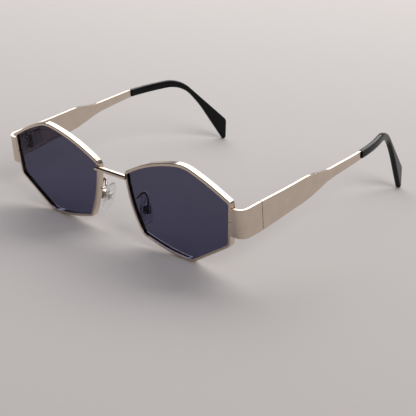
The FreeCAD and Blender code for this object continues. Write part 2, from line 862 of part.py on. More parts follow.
sleeve = curled_bar(
    "Sleeve",
    "Sizes.sleeve_start",
    "Sizes.tip_thickness",
    "Sizes.sleeve_height",
    "Sizes.tip_bevel",
)
hook = bent_bar("Hook", TIP, "Sizes.tip_thickness", "Sizes.sleeve_height")
doc.recompute()
hook_edges = []
for index, edge in enumerate(hook.Shape.Edges, start=1):
    at_curl = [hook.Placement.inverse().multVec(vertex.Point).y < 1e-6 for vertex in edge.Vertexes]
    if not all(at_curl):
        hook_edges.append("Edge%d" % index)
hook_bevel = hook.newObject("PartDesign::Chamfer", "HookBevel")
hook_bevel.Base = (hook.Group[-2], hook_edges)
hook_bevel.setExpression("Size", "Sizes.tip_bevel")
# The blade's front edge lies parallel to the end piece's edge, one butt gap behind it.
LEAN_SIN = "sin(Sizes.front_tilt * 1deg)"
LEAN_COS = "cos(Sizes.front_tilt * 1deg)"
BUTT_DEPTH = "(Sizes.hinge_depth + Sizes.butt_gap / 2)"
blade_front = []
for side in ("-", ""):
    half_height = "%s Sizes.strap_height / 2" % side
    blade_front.append((
        "%s * %s - (%s) * %s" % (BUTT_DEPTH, LEAN_COS, half_height, LEAN_SIN),
        "Sizes.strap_middle + (%s) * %s + %s * %s"
        % (half_height, LEAN_COS, BUTT_DEPTH, LEAN_SIN),
        None,
    ))
blade_block = side_block("BladeSide", blade_front + named_corners(BLADE))
blade_bar = common("BladeBar", blade_block, blade_strip())
blade = cut("Blade", blade_bar, sleeve)
core_curl = curled_bar("Core", "Sizes.core_start", "Sizes.core_thickness", "Sizes.core_height")
core_bend = bent_bar("Core", CORE, "Sizes.core_thickness", "Sizes.core_height")
keep_pair(fuse("Temple", [blade, core_curl, core_bend]), "temple")


tip_bar = fuse("TipBar", [sleeve, hook])
SLEEVE_BORE_ACROSS = "Sizes.core_thickness + 2 * Sizes.tip_clearance"
SLEEVE_BORE_TALL = "Sizes.core_height + 2 * Sizes.tip_clearance"
cavity = fuse("Cavity", [
    curled_bar("CavityNear", "Sizes.core_start", SLEEVE_BORE_ACROSS, SLEEVE_BORE_TALL),
    bent_bar("CavityFar", CORE, SLEEVE_BORE_ACROSS, "Sizes.core_height", "Sizes.tip_clearance"),
])
keep_pair(cut("EarTip", tip_bar, cavity), "temple_tip")


# Nose pad. Its frame: X towards the nose, Z up along the pad, origin at the pad's middle.

def pad_frame():
    along = FreeCAD.Vector(-0.248, 0.147, 0.957)
    face = FreeCAD.Vector(-0.80, 0.57, -0.295)
    face = face - along * face.dot(along) / along.dot(along)
    rotation = FreeCAD.Rotation(face, FreeCAD.Vector(), along, "ZXY")
    base = FreeCAD.Vector(
        size("pad_across"), size("front_datum") + size("pad_depth"), size("pad_height")
    )
    return FreeCAD.Placement(base, rotation)


pad_body = new_body("PadBody", pad_frame())
pad_sketch = body_sketch(pad_body, "PadOutline", "YZ_Plane")
draw_outline(pad_sketch, (
    ("-Sizes.pad_width / 2", "-Sizes.pad_length / 2", "Sizes.pad_width * 0.42"),
    ("-Sizes.pad_width * 0.4", "Sizes.pad_length / 2", "Sizes.pad_width * 0.36"),
    ("Sizes.pad_width * 0.4", "Sizes.pad_length / 2", "Sizes.pad_width * 0.36"),
    ("Sizes.pad_width / 2", "-Sizes.pad_length / 2", "Sizes.pad_width * 0.42"),
))
pad_pad = pad_both(pad_body, pad_sketch, "Sizes.pad_thickness")
doc.recompute()
pad_bevel = pad_body.newObject("PartDesign::Chamfer", "PadBevel")
pad_bevel.Base = (pad_pad, ["Face%d" % (i + 1) for i, face in enumerate(pad_pad.Shape.Faces)
                             if face.Surface.TypeId == "Part::GeomPlane"
                             and abs(face.normalAt(0, 0).x) > 0.9])
pad_bevel.setExpression("Size", "Sizes.pad_bevel")

# The metal core plate lies in the middle of the pad; its lug reaches back into the box.
core_body = new_body("PadCoreBody", pad_frame())
plate_sketch = body_sketch(core_body, "PadCorePlate", "YZ_Plane")
draw_outline(plate_sketch, (
    ("-Sizes.core_width / 2", "-Sizes.core_length / 2", None),
    ("-Sizes.core_width / 2", "Sizes.core_length / 2", None),
    ("Sizes.core_width / 2", "Sizes.core_length / 2", None),
    ("Sizes.core_width / 2", "-Sizes.core_length / 2", None),
))
pad_both(core_body, plate_sketch, "Sizes.core_plate")
lug_sketch = body_sketch(core_body, "PadCoreLug", "YZ_Plane")
draw_box(
    lug_sketch,
    "-Sizes.lug_width / 2",
    "-Sizes.lug_length / 2",
    "Sizes.lug_width / 2",
    "Sizes.lug_length / 2",
)
lug_pad = core_body.newObject("PartDesign::Pad", "PadCoreLugPad")
lug_pad.Profile = lug_sketch
lug_pad.Reversed = True
lug_pad.setExpression("Length", "Sizes.pad_thickness / 2 + Sizes.lug_reach")
lug_bore_sketch = body_sketch(core_body, "PadCoreBore", "XZ_Plane")
SCREW_LINE = "-(Sizes.pad_thickness / 2 + Sizes.lug_reach - Sizes.lug_length / 2)"
draw_circle(lug_bore_sketch, SCREW_LINE, "0", "Sizes.pad_screw_radius + Sizes.screw_clearance")
pocket_both(core_body, lug_bore_sketch)

keep_pair(core_body, "pad_core")
keep_pair(cut("NosePad", pad_body, core_body), "nose_pad")

# Pad box: a small open cup on the end of the arm that holds the lug between two walls.
box_body = new_body("PadBoxBody", pad_frame())
box_sketch = body_sketch(box_body, "PadBoxSection", "XZ_Plane")
BOX_HALF_ACROSS = "(Sizes.lug_width / 2 + Sizes.box_gap / 2 + Sizes.box_wall)"
BOX_HALF_UP = "(Sizes.lug_length / 2 + Sizes.box_gap * 2 + Sizes.box_wall)"
BOX_FLOOR = "(Sizes.pad_thickness / 2 + Sizes.lug_reach + Sizes.box_gap)"
box_back = "-(%s + Sizes.box_wall)" % BOX_FLOOR
box_mouth = "-(%s - Sizes.box_depth)" % BOX_FLOOR
draw_box(box_sketch, box_back, "-" + BOX_HALF_UP, box_mouth, BOX_HALF_UP)
pad_both(box_body, box_sketch, "2 * " + BOX_HALF_ACROSS)
box_hollow_sketch = body_sketch(box_body, "PadBoxHollow", "XZ_Plane")
HOLLOW_UP = "(Sizes.lug_length / 2 + Sizes.box_gap * 2)"
draw_box(box_hollow_sketch, "-" + BOX_FLOOR, "-" + HOLLOW_UP, "0", HOLLOW_UP)
pocket_both(box_body, box_hollow_sketch, "Sizes.lug_width + Sizes.box_gap")
box_bore_sketch = body_sketch(box_body, "PadBoxBore", "XZ_Plane")
draw_circle(box_bore_sketch, SCREW_LINE, "0", "Sizes.pad_screw_radius + Sizes.screw_clearance")
pocket_both(box_body, box_bore_sketch)
keep_pair(box_body, "pad_box")

cross_turn = FreeCAD.Placement(
    FreeCAD.Vector(number(SCREW_LINE), number("-" + BOX_HALF_ACROSS), 0),
    FreeCAD.Rotation(FreeCAD.Vector(1, 0, 0), 90),
)
pad_screw = turned_screw(
    "PadScrew",
    pad_frame().multiply(cross_turn),
    "Sizes.pad_screw_radius",
    "Sizes.pad_screw_head",
    "Sizes.box_wall",
    "-(%s + Sizes.lug_width / 2)" % BOX_HALF_ACROSS,
)
keep_pair(pad_screw, "pad_screw")


# Pad arm: round wire soldered to the back of the rim, looped up and over to the box.

def round_wire(points, radius, bend):
    """Solid round wire: straight runs between the points, turned round every corner."""
    start = points[0]
    ahead = (points[1] - start).normalize()
    end_face = Part.Face(Part.Wire([Part.makeCircle(radius, start, ahead)]))
    pieces = []
    for before, corner, after in zip(points, points[1:], points[2:]):
        back = (before - corner).normalize()
        ahead = (after - corner).normalize()
        half = back.getAngle(ahead) / 2
        reach = bend / math.tan(half)
        centre = corner + (back + ahead).normalize() * (bend / math.sin(half))
        axis = ahead.cross(back)
        turn = 180 - math.degrees(2 * half)
        run = corner + back * reach - start
        pieces.append(end_face.extrude(run))
        end_face = end_face.translated(run)
        pieces.append(end_face.revolve(centre, axis, turn))
        end_face = end_face.rotated(centre, axis, turn)
        start = corner + ahead * reach
    pieces.append(end_face.extrude(points[-1] - start))
    return pieces[0].multiFuse(pieces[1:])


arm_points = []
for name, across, depth, height in ARM:
    arm_points.append(FreeCAD.Vector(
        size(name + "_across"),
        size("front_datum") + size(name + "_depth"),
        size(name + "_height"),
    ))
arm_wire = doc.addObject("Part::Feature", "PadArmWire")
arm_wire.Shape = round_wire(arm_points, size("arm_radius"), size("arm_bend"))
arm_off_rim = cut("PadArmOffRim", arm_wire, rim_hoop)
keep_pair(cut("PadArm", arm_off_rim, box_body), "pad_arm")


# Check and write

doc.recompute()
faults = []
for piece in doc.Objects:
    if "Invalid" in piece.State or "Error" in piece.State:
        faults.append("%s: %s" % (piece.Name, piece.State))
for piece in subparts:
    shape = piece.Shape
    if shape.isNull() or not shape.isValid() or not shape.Solids:
        faults.append("%s has no valid solid" % piece.Label)
if faults:
    raise RuntimeError("; ".join(faults))
for piece in subparts:
    piece.Shape.exportStep(os.path.join("parts", piece.Label + ".step"))
    print("%-22s solids %d volume %9.3f" % (piece.Label, len(piece.Shape.Solids), piece.Shape.Volume))
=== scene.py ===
import math

import bmesh
import bpy
from mathutils import Matrix, Vector


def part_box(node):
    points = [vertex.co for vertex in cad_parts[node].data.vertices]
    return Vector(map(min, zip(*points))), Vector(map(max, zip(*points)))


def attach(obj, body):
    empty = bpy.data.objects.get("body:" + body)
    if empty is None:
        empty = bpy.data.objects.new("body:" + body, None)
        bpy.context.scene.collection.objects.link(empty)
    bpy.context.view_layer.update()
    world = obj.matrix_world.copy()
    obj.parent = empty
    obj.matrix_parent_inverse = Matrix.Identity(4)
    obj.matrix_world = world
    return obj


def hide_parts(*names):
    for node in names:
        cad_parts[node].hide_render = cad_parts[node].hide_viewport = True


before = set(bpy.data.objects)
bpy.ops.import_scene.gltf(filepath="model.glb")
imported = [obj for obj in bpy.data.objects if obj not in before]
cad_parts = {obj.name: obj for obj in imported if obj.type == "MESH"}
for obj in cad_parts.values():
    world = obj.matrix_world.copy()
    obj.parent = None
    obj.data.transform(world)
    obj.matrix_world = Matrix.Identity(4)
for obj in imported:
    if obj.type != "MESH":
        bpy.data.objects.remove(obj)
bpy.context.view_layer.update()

scene = bpy.context.scene


# Rims
# Each eyewire is a flat ribbon of nickel alloy, bent to six soft corners and closed round the
# lens. It is plated pale champagne, satin on its front strip and polished on the outside band.

def add_node(tree, kind, **values):
    """Adds a shader node; values name its properties or its input sockets."""
    made = tree.nodes.new(kind)
    for key, value in values.items():
        if hasattr(made, key):
            setattr(made, key, value)
        else:
            made.inputs[key.replace("_", " ")].default_value = value
    return made


def colour_ramp(tree, stops):
    """Ramp through the given positions and colours."""
    made = tree.nodes.new("ShaderNodeValToRGB")
    bar = made.color_ramp
    while len(bar.elements) < len(stops):
        bar.elements.new(0.5)
    for element, (position, colour) in zip(bar.elements, stops):
        element.position = position
        element.color = colour
    return made


def grey(value):
    """Colour with one value in all its channels."""
    return (value, value, value, 1.0)


STAIN_SCALE = 160.0
# Edges are painted lighter than the faces: partly rubbed wear, partly a painted highlight.
RUB_AND_HIGHLIGHT_BEGINS = 0.995
RUB_AND_HIGHLIGHT_COMPLETE = 0.85
EDGE_BRIGHTNESS = 1.12
SMOOTHEST = 0.7
ROUGHEST = 1.4
SCRATCH_LENGTH = 3
SCRATCH_ROUGHNESS = 0.9
BRUSHING_DEPTH = 0.00003


def brushed_metal(name, tone, worn_tone, roughness, grain, relief, edge):
    """Plated metal: brushing stretched by grain, faint stains, scratches, and edges painted
    lighter as rubbed wear and a painted highlight.

    edge is how far the rounding of an edge reaches, in metres. The colour is painted lighter
    where the rounded surface leans away from the flat one, from RUB_AND_HIGHLIGHT_BEGINS to
    RUB_AND_HIGHLIGHT_COMPLETE as a cosine: rubbed wear and a painted highlight along the edges.
    """
    material = bpy.data.materials.new(name)
    material.use_nodes = True
    tree = material.node_tree
    link = tree.links.new
    shader = tree.nodes["Principled BSDF"]
    shader.inputs["Metallic"].default_value = 1.0
    place = add_node(tree, "ShaderNodeTexCoord")
    stretch = add_node(tree, "ShaderNodeMapping", Scale=grain)
    streaks = add_node(tree, "ShaderNodeTexNoise", Scale=1.0, Detail=5.0, Roughness=0.6)
    stains = add_node(tree, "ShaderNodeTexNoise", Scale=STAIN_SCALE, Detail=3.0, Roughness=0.55)
    link(place.outputs["Object"], stretch.inputs["Vector"])
    link(stretch.outputs["Vector"], streaks.inputs["Vector"])
    link(place.outputs["Object"], stains.inputs["Vector"])

    rounded = add_node(tree, "ShaderNodeBevel", samples=4, Radius=edge)
    surface = add_node(tree, "ShaderNodeNewGeometry")
    turn = add_node(tree, "ShaderNodeVectorMath", operation="DOT_PRODUCT")
    link(rounded.outputs["Normal"], turn.inputs[0])
    link(surface.outputs["True Normal"], turn.inputs[1])
    # Mask of the edges that are painted lighter: rubbed wear and a painted highlight.
    rubbed_and_highlit = add_node(tree, "ShaderNodeMapRange")
    rubbed_and_highlit.inputs["From Min"].default_value = RUB_AND_HIGHLIGHT_BEGINS
    rubbed_and_highlit.inputs["From Max"].default_value = RUB_AND_HIGHLIGHT_COMPLETE
    link(turn.outputs["Value"], rubbed_and_highlit.inputs["Value"])

    tones = colour_ramp(tree, ((0.3, worn_tone), (0.7, tone)))
    link(stains.outputs["Fac"], tones.inputs["Fac"])
    # Lighter edge colour: partly rubbed wear, partly a painted highlight.
    bright = [min(1.0, EDGE_BRIGHTNESS * value) for value in tone[:3]] + [1.0]
    edged = add_node(tree, "ShaderNodeMix", data_type="RGBA", B=bright)
    link(rubbed_and_highlit.outputs["Result"], edged.inputs["Factor"])
    link(tones.outputs["Color"], edged.inputs["A"])
    link(edged.outputs["Result"], shader.inputs["Base Color"])

    smoother = grey(roughness * SMOOTHEST)
    rougher = grey(roughness * ROUGHEST)
    shine = colour_ramp(tree, ((0.3, smoother), (0.7, rougher)))
    link(streaks.outputs["Fac"], shine.inputs["Fac"])

    scratch_grain = tuple(value / SCRATCH_LENGTH for value in grain)
    along = add_node(tree, "ShaderNodeMapping", Scale=scratch_grain)
    scratches = add_node(tree, "ShaderNodeTexNoise", Scale=1.0, Detail=2.0, Roughness=0.4)
    link(place.outputs["Object"], along.inputs["Vector"])
    link(along.outputs["Vector"], scratches.inputs["Vector"])
    scratched = grey(roughness * SCRATCH_ROUGHNESS)
    lines = colour_ramp(tree, ((0.64, grey(0.0)), (0.68, scratched)))
    link(scratches.outputs["Fac"], lines.inputs["Fac"])
    rubbing = add_node(tree, "ShaderNodeMath", operation="ADD")
    link(shine.outputs["Color"], rubbing.inputs[0])
    link(lines.outputs["Color"], rubbing.inputs[1])
    link(rubbing.outputs["Value"], shader.inputs["Roughness"])
    bump = add_node(tree, "ShaderNodeBump", Strength=relief, Distance=BRUSHING_DEPTH)
    link(streaks.outputs["Fac"], bump.inputs["Height"])
    link(rounded.outputs["Normal"], bump.inputs["Normal"])
    link(bump.outputs["Normal"], shader.inputs["Normal"])
    return material


def dress(names, material):
    """Gives the named solids a finish."""
    for name in names:
        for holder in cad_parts[name].material_slots:
            holder.material = material


CHAMPAGNE = (0.69, 0.585, 0.495, 1.0)
CHAMPAGNE_WORN = (0.64, 0.54, 0.45, 1.0)
RIM_GRAIN = (2400.0, 2400.0, 2400.0)

ribbon_metal = brushed_metal(
    "ribbon_champagne",
    CHAMPAGNE,
    CHAMPAGNE_WORN,
    roughness=0.09,
    grain=RIM_GRAIN,
    relief=0.07,
    edge=0.00005,
)
dress(["rim_right", "rim_left"], ribbon_metal)


# Lenses
# Flat-looking six-sided lenses cut from a weakly curved tinted sheet, 1.6 mm thick, held by a
# thin tongue in the rim's groove. The dark blue-grey tint is a little bluer towards the bottom.

LENS_TINT_LOW = (0.088, 0.09, 0.155, 1.0)
LENS_TINT_HIGH = (0.102, 0.1, 0.155, 1.0)
LENS_GROUND_EDGE = (0.004, 0.004, 0.006, 1.0)
LENS_TOP = 0.042
LENS_IOR = 1.1
LENS_HAZE = 0.035


def tinted_glass(name):
    """Clear tinted sheet: dark ground edges, a faint haze on its faces."""
    material = bpy.data.materials.new(name)
    material.use_nodes = True
    tree = material.node_tree
    link = tree.links.new
    shader = tree.nodes["Principled BSDF"]
    shader.inputs["IOR"].default_value = LENS_IOR
    shader.inputs["Transmission Weight"].default_value = 1.0
    place = add_node(tree, "ShaderNodeTexCoord")
    parts = add_node(tree, "ShaderNodeSeparateXYZ")
    link(place.outputs["Object"], parts.inputs["Vector"])
    level = add_node(tree, "ShaderNodeMapRange")
    level.inputs["From Max"].default_value = LENS_TOP
    link(parts.outputs["Z"], level.inputs["Value"])
    tint = colour_ramp(tree, ((0.0, LENS_TINT_LOW), (1.0, LENS_TINT_HIGH)))
    link(level.outputs["Result"], tint.inputs["Fac"])

    facing = add_node(tree, "ShaderNodeSeparateXYZ")
    link(place.outputs["Normal"], facing.inputs["Vector"])
    flatness = add_node(tree, "ShaderNodeMath", operation="ABSOLUTE")
    link(facing.outputs["Y"], flatness.inputs[0])
    ground = colour_ramp(tree, ((0.75, grey(1.0)), (0.9, grey(0.0))))
    link(flatness.outputs["Value"], ground.inputs["Fac"])
    edged = add_node(tree, "ShaderNodeMix", data_type="RGBA", B=LENS_GROUND_EDGE)
    link(ground.outputs["Color"], edged.inputs["Factor"])
    link(tint.outputs["Color"], edged.inputs["A"])
    link(edged.outputs["Result"], shader.inputs["Base Color"])

    haze = add_node(tree, "ShaderNodeTexNoise", Scale=90.0, Detail=4.0, Roughness=0.6)
    link(place.outputs["Object"], haze.inputs["Vector"])
    polish = colour_ramp(tree, ((0.4, grey(0.0)), (0.75, grey(LENS_HAZE))))
    link(haze.outputs["Fac"], polish.inputs["Fac"])
    link(polish.outputs["Color"], shader.inputs["Roughness"])
    return material


dress(["lens_right", "lens_left"], tinted_glass("lens_blue_grey"))


# Bridge
# One straight bar of drawn wire, flattened to a rectangle with chamfered front edges, soldered
# across the fronts of both rims. It is polished along its length.

BRIDGE_GRAIN = (250.0, 4500.0, 4500.0)

bar_metal = brushed_metal(
    "bar_champagne",
    CHAMPAGNE,
    CHAMPAGNE_WORN,
    roughness=0.08,
    grain=BRIDGE_GRAIN,
    relief=0.04,
    edge=0.00005,
)
dress(["bridge"], bar_metal)


# End pieces
# Wide straps of sheet metal, soldered to the rims' outer sides and bent round to the temples.
# Their faces are satin, brushed along the strap.

STRAP_GRAIN = (160.0, 160.0, 4200.0)

strap_metal = brushed_metal(
    "strap_champagne",
    CHAMPAGNE,
    CHAMPAGNE_WORN,
    roughness=0.16,
    grain=STRAP_GRAIN,
    relief=0.22,
    edge=0.00008,
)
dress(["end_piece_right", "end_piece_left"], strap_metal)


# Rim locks
# Two small blocks behind each end piece, one on each side of the saw cut in the rim. A slotted
# steel screw from below draws them together and closes the rim on the lens.

FITTING = (0.55, 0.49, 0.43, 1.0)
FITTING_WORN = (0.45, 0.4, 0.35, 1.0)
FITTING_GRAIN = (1800.0, 1800.0, 1800.0)
STEEL = (0.6, 0.58, 0.55, 1.0)
STEEL_WORN = (0.48, 0.46, 0.43, 1.0)

fitting_metal = brushed_metal(
    "fitting_champagne",
    FITTING,
    FITTING_WORN,
    roughness=0.26,
    grain=FITTING_GRAIN,
    relief=0.12,
    edge=0.0001,
)
screw_metal = brushed_metal(
    "screw_bright_steel",
    STEEL,
    STEEL_WORN,
    roughness=0.2,
    grain=FITTING_GRAIN,
    relief=0.08,
    edge=0.00006,
)
dress(
    [
        "rim_lock_upper_right",
        "rim_lock_upper_left",
        "rim_lock_lower_right",
        "rim_lock_lower_left",
    ],
    fitting_metal,
)


def geometry_tree(name, sizes):
    """Empty geometry tree with the named sizes and a metal as its inputs."""
    tree = bpy.data.node_groups.new(name, "GeometryNodeTree")
    add_socket = tree.interface.new_socket
    add_socket("Geometry", in_out="INPUT", socket_type="NodeSocketGeometry")
    add_socket("Geometry", in_out="OUTPUT", socket_type="NodeSocketGeometry")
    for size_name, value in sizes.items():
        size = add_socket(size_name, in_out="INPUT", socket_type="NodeSocketFloat")
        size.default_value = value
    add_socket("Metal", in_out="INPUT", socket_type="NodeSocketMaterial")
    return tree


SCREW_SIZES = {
    "Head radius": 0.0009,
    "Head height": 0.0005,
    "Shank radius": 0.0005,
    "Shank length": 0.004,
    "Slot width": 0.0003,
}
SCREW_FACETS = 40
HEAD_WALL_SHARE = 0.7
HEAD_CROWN_SHARE = 0.3
HEAD_CROWN_NARROWING = 0.75
SHANK_OVERLAP = 0.0001


def screw_tree():
    """Slotted screws, one at each point, along the point's own direction.

    The point is the underside of the head; the head rises along the direction, the shank goes
    against it.
    """
    tree = geometry_tree("slotted_screw", SCREW_SIZES)
    new = tree.nodes.new
    link = tree.links.new
    start = new("NodeGroupInput")
    end = new("NodeGroupOutput")

    def scaled(socket, factor, offset=0.0):
        """The socket's value times a factor plus an offset."""
        product = new("ShaderNodeMath")
        product.operation = "MULTIPLY_ADD"
        link(socket, product.inputs[0])
        product.inputs[1].default_value = factor
        product.inputs[2].default_value = offset
        return product.outputs[0]

    def raised(geometry, height):
        """The geometry moved up by a height socket."""
        up = new("ShaderNodeCombineXYZ")
        link(height, up.inputs["Z"])
        shift = new("GeometryNodeTransform")
        link(geometry, shift.inputs["Geometry"])
        link(up.outputs["Vector"], shift.inputs["Translation"])
        return shift.outputs["Geometry"]

    def turned_piece(bottom_radius, top_radius, height):
        """Turned wall between two radii, standing on the head's underside."""
        cone = new("GeometryNodeMeshCone")
        cone.inputs["Vertices"].default_value = SCREW_FACETS
        link(top_radius, cone.inputs["Radius Top"])
        link(bottom_radius, cone.inputs["Radius Bottom"])
        link(height, cone.inputs["Depth"])
        return cone.outputs["Mesh"]

    head_radius = start.outputs["Head radius"]
    head_height = start.outputs["Head height"]
    shank_radius = start.outputs["Shank radius"]
    shank_length = start.outputs["Shank length"]

    wall_height = scaled(head_height, HEAD_WALL_SHARE)
    crown_height = scaled(head_height, HEAD_CROWN_SHARE)
    crown_radius = scaled(head_radius, HEAD_CROWN_NARROWING)
    wall = turned_piece(head_radius, head_radius, wall_height)
    crown = raised(turned_piece(head_radius, crown_radius, crown_height), wall_height)
    shank_reach = scaled(shank_length, 1.0, SHANK_OVERLAP)
    shank_end = scaled(shank_length, -1.0)
    shank = raised(turned_piece(shank_radius, shank_radius, shank_reach), shank_end)
    body = new("GeometryNodeMeshBoolean")
    body.operation = "UNION"
    body.solver = "EXACT"
    for piece in (wall, crown, shank):
        link(piece, body.inputs["Mesh 2"])

    block = new("GeometryNodeMeshCube")
    slot_size = new("ShaderNodeCombineXYZ")
    link(scaled(head_radius, 3.0), slot_size.inputs["X"])
    link(start.outputs["Slot width"], slot_size.inputs["Y"])
    link(head_height, slot_size.inputs["Z"])
    link(slot_size.outputs["Vector"], block.inputs["Size"])
    slot = raised(block.outputs["Mesh"], head_height)
    cut = new("GeometryNodeMeshBoolean")
    cut.operation = "DIFFERENCE"
    cut.solver = "EXACT"
    link(body.outputs["Mesh"], cut.inputs["Mesh 1"])
    link(slot, cut.inputs["Mesh 2"])

    points = new("GeometryNodeMeshToPoints")
    link(start.outputs["Geometry"], points.inputs["Mesh"])
    direction = new("GeometryNodeInputNamedAttribute")
    direction.data_type = "FLOAT_VECTOR"
    direction.inputs["Name"].default_value = "screw_axis"
    aim = new("FunctionNodeAlignRotationToVector")
    aim.axis = "Z"
    link(direction.outputs["Attribute"], aim.inputs["Vector"])
    scatter = new("GeometryNodeInstanceOnPoints")
    link(points.outputs["Points"], scatter.inputs["Points"])
    link(cut.outputs["Mesh"], scatter.inputs["Instance"])
    link(aim.outputs["Rotation"], scatter.inputs["Rotation"])
    real = new("GeometryNodeRealizeInstances")
    link(scatter.outputs["Instances"], real.inputs["Geometry"])
    coat = new("GeometryNodeSetMaterial")
    link(real.outputs["Geometry"], coat.inputs["Geometry"])
    link(start.outputs["Metal"], coat.inputs["Material"])
    link(coat.outputs["Geometry"], end.inputs["Geometry"])
    return tree


def grown(name, mesh, tree, values, body, replaced):
    """Runs a tree on a mesh, keeps the result as a plain piece and ties it to the frame."""
    seed = bpy.data.objects.new(name + "_seed", mesh)
    scene.collection.objects.link(seed)
    modifier = seed.modifiers.new("grow", "NODES")
    modifier.node_group = tree
    for item in tree.interface.items_tree:
        if item.item_type == "SOCKET" and item.in_out == "INPUT" and item.name in values:
            modifier[item.identifier] = values[item.name]
    evaluated = seed.evaluated_get(bpy.context.evaluated_depsgraph_get())
    finished = bpy.data.meshes.new_from_object(evaluated)
    finished.name = name
    bpy.data.objects.remove(seed)
    piece = bpy.data.objects.new(name, finished)
    scene.collection.objects.link(piece)
    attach(piece, body)
    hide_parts(*replaced)


def screw_points(name, places, axes):
    """A mesh of points, each with the direction its screw's head looks."""
    mesh = bpy.data.meshes.new(name)
    mesh.from_pydata(places, [], [])
    direction = mesh.attributes.new("screw_axis", "FLOAT_VECTOR", "POINT")
    for index, axis in enumerate(axes):
        direction.data[index].vector = axis
    return mesh


def mirrored(point):
    """The same point or direction on the other side of the face."""
    return (-point[0], point[1], point[2])


def head_seat(node_name, up, half_length, head_height):
    """Where a screw's head meets its shank; up is the way the head looks from its middle."""
    low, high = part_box(node_name)
    middle = (Vector(low) + Vector(high)) / 2
    return middle + Vector(up) * (half_length - head_height)


screws = screw_tree()

# The front leans back by this angle, and the lock and hinge screws lean with it.
FRONT_TILT = math.radians(5.5)
UPRIGHT = (0.0, -math.sin(FRONT_TILT), math.cos(FRONT_TILT))
DOWN = tuple(-value for value in UPRIGHT)

LOCK_SCREW_SIZES = {
    "Head radius": 0.0009,
    "Head height": 0.0005,
    "Shank radius": 0.0005,
    "Shank length": 0.0046,
    "Slot width": 0.00028,
    "Metal": screw_metal,
}
LOCK_SCREW_HALF = 0.00255

lock_seat = head_seat(
    "rim_lock_screw_right", DOWN, LOCK_SCREW_HALF, LOCK_SCREW_SIZES["Head height"]
)
grown(
    "rim_lock_screws",
    screw_points("lock_seats", [tuple(lock_seat), mirrored(lock_seat)], [DOWN, DOWN]),
    screws,
    LOCK_SCREW_SIZES,
    "front",
    ["rim_lock_screw_right", "rim_lock_screw_left"],
)


# Hinges
# Each hinge is a five-barrel hinge: three barrels on the front leaf, two on the temple leaf, and
# one slotted steel screw through all five. The leaves are soldered inside strap and temple.

dress(
    ["hinge_front_right", "hinge_front_left", "hinge_temple_right", "hinge_temple_left"],
    fitting_metal,
)

HINGE_SCREW_SIZES = {
    "Head radius": 0.00095,
    "Head height": 0.00045,
    "Shank radius": 0.00057,
    "Shank length": 0.0064,
    "Slot width": 0.0003,
    "Metal": screw_metal,
}
HINGE_SCREW_HALF = 0.00342

hinge_seat = head_seat(
    "hinge_screw_right", UPRIGHT, HINGE_SCREW_HALF, HINGE_SCREW_SIZES["Head height"]
)
grown(
    "hinge_screws",
    screw_points("hinge_seats", [tuple(hinge_seat), mirrored(hinge_seat)], [UPRIGHT, UPRIGHT]),
    screws,
    HINGE_SCREW_SIZES,
    "front",
    ["hinge_screw_right", "hinge_screw_left"],
)


# Temples
# Broad flat blades stamped from sheet, necked down to a narrow strip that runs on inside the ear
# tip as its core. Their outer faces are satin, brushed from hinge to tip.

BLADE_GRAIN = (900.0, 120.0, 4200.0)

blade_metal = brushed_metal(
    "blade_champagne",
    CHAMPAGNE,
    CHAMPAGNE_WORN,
    roughness=0.14,
    grain=BLADE_GRAIN,
    relief=0.22,
    edge=0.00012,
)
dress(["temple_right", "temple_left"], blade_metal)


# Ear tips
# Glossy black acetate sleeves pushed over the temples' cores, bent down behind the ear and
# widening to a slanted paddle. All their edges are rounded by tumbling.

TIP_BLACK = (0.0025, 0.0025, 0.003, 1.0)
TIP_BLACK_CLOUD = (0.004, 0.004, 0.0045, 1.0)
TIP_IOR = 1.48
TIP_GLINT = 0.16
TIP_SCUFF_DEPTH = 0.00003
TIP_VOXEL = 0.00028
TIP_TUMBLING = 9


def black_acetate(name):
    """Polished black plastic, faintly clouded, with light scuffs."""
    material = bpy.data.materials.new(name)
    material.use_nodes = True
    tree = material.node_tree
    link = tree.links.new
    shader = tree.nodes["Principled BSDF"]
    shader.inputs["IOR"].default_value = TIP_IOR
    shader.inputs["Specular IOR Level"].default_value = TIP_GLINT
    place = add_node(tree, "ShaderNodeTexCoord")
    cloud = add_node(tree, "ShaderNodeTexNoise", Scale=260.0, Detail=4.0, Roughness=0.6)
    link(place.outputs["Object"], cloud.inputs["Vector"])
    tones = colour_ramp(tree, ((0.3, TIP_BLACK), (0.7, TIP_BLACK_CLOUD)))
    link(cloud.outputs["Fac"], tones.inputs["Fac"])
    link(tones.outputs["Color"], shader.inputs["Base Color"])
    shine = colour_ramp(tree, ((0.35, grey(0.07)), (0.7, grey(0.13))))
    link(cloud.outputs["Fac"], shine.inputs["Fac"])
    link(shine.outputs["Color"], shader.inputs["Roughness"])
    scuffs = add_node(tree, "ShaderNodeBump", Strength=0.05, Distance=TIP_SCUFF_DEPTH)
    link(cloud.outputs["Fac"], scuffs.inputs["Height"])
    link(scuffs.outputs["Normal"], shader.inputs["Normal"])
    return material


def merged_copy(node_name):
    """A closed mesh of a solid's loose triangles."""
    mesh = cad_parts[node_name].data.copy()
    work = bmesh.new()
    work.from_mesh(mesh)
    bmesh.ops.remove_doubles(work, verts=work.verts, dist=1e-6)
    bmesh.ops.recalc_face_normals(work, faces=work.faces)
    work.to_mesh(mesh)
    work.free()
    return mesh


